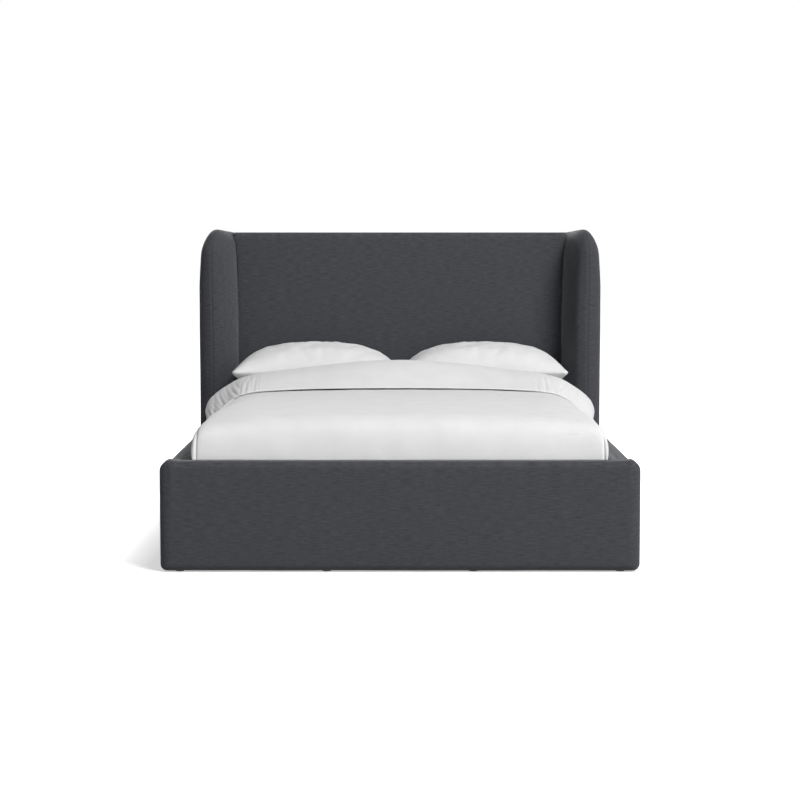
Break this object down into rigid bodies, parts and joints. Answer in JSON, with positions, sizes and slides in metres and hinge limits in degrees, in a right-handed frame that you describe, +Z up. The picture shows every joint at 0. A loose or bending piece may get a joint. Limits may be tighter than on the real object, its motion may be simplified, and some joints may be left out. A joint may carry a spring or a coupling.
{
  "type": "upholstered bed",
  "caption": "Upholstered wing bed with low footboard, padded rails, tall headboard between flared wings, slatted deck, mattress and white bedding.",
  "frame": {"origin": "on the floor, under the middle of the bed's outline", "axes": "+X across the bed to its right seen from the foot, +Y from the foot to the head, +Z up"},
  "size_m": [1.8632, 2.257, 1.259],
  "materials": {
    "upholstery": "charcoal linen-like weave with horizontal slubs",
    "foam": "open-cell cushioning foam",
    "timber": "planed softwood and plywood, unfinished",
    "webbing": "woven cotton tape",
    "glide": "moulded, matte",
    "levelling_foot": "black powder coat",
    "black_steel": "black powder coat",
    "spring_steel": "pocketed wire springs",
    "ticking": "quilted knit",
    "sheet": "white cotton percale",
    "duvet": "white brushed cotton",
    "pillow": "white brushed cotton"
  },
  "bodies": {
    "bed_frame": {"beam_hanger_foot": "black_steel", "beam_hanger_head": "black_steel", "foot_bracket_bolts": "black_steel", "foot_bracket_left": "black_steel", "foot_bracket_right": "black_steel", "footboard_cover": "upholstery", "footboard_foam": "foam", "footboard_frame": "timber", "head_cleats": "timber", "headboard_cover": "upholstery", "headboard_foam": "foam", "headboard_frame": "timber", "ledger_left": "timber", "ledger_right": "timber", "middle_beam": "timber", "middle_leg_1": "timber", "middle_leg_2": "timber", "middle_leg_3": "timber", "panel_glides": "glide", "rail_hook_plate_left": "black_steel", "rail_hook_plate_right": "black_steel", "side_rail_left_board": "timber", "side_rail_left_cover": "upholstery", "side_rail_left_foam": "foam", "side_rail_right_board": "timber", "side_rail_right_cover": "upholstery", "side_rail_right_foam": "foam", "slat_01": "timber", "slat_02": "timber", "slat_03": "timber", "slat_04": "timber", "slat_05": "timber", "slat_06": "timber", "slat_07": "timber", "slat_08": "timber", "slat_09": "timber", "slat_10": "timber", "slat_11": "timber", "slat_12": "timber", "slat_straps": "webbing", "wing_bolts": "black_steel", "wing_left_cover": "upholstery", "wing_left_foam": "foam", "wing_left_frame": "timber", "wing_right_cover": "upholstery", "wing_right_foam": "foam", "wing_right_frame": "timber", "wing_slot_plate_left": "black_steel", "wing_slot_plate_right": "black_steel"},
    "mattress": {"mattress_ticking": "ticking", "mattress_foam": "foam", "mattress_spring_unit": "spring_steel", "fitted_sheet": "sheet", "duvet": "duvet", "duvet_turndown": "duvet"},
    "pillow_left": {"pillow_left": "pillow"},
    "pillow_right": {"pillow_right": "pillow"},
    "levelling_foot_1": {"levelling_foot_1": "levelling_foot"},
    "levelling_foot_2": {"levelling_foot_2": "levelling_foot"},
    "levelling_foot_3": {"levelling_foot_3": "levelling_foot"}
  },
  "joints": [
    {"name": "mattress_lift", "type": "slide", "parent": "bed_frame", "child": "mattress", "axis": [0, 0, 1], "range_m": [0, 0.3]},
    {"name": "pillow_left_lift", "type": "slide", "parent": "mattress", "child": "pillow_left", "axis": [0, 0, 1], "range_m": [0, 0.25]},
    {"name": "pillow_right_lift", "type": "slide", "parent": "mattress", "child": "pillow_right", "axis": [0, 0, 1], "range_m": [0, 0.25]},
    {"name": "levelling_foot_1_screw", "type": "slide", "parent": "bed_frame", "child": "levelling_foot_1", "axis": [0, 0, -1], "range_m": [0, 0.015]},
    {"name": "levelling_foot_2_screw", "type": "slide", "parent": "bed_frame", "child": "levelling_foot_2", "axis": [0, 0, -1], "range_m": [0, 0.015]},
    {"name": "levelling_foot_3_screw", "type": "slide", "parent": "bed_frame", "child": "levelling_foot_3", "axis": [0, 0, -1], "range_m": [0, 0.015]}
  ]
}
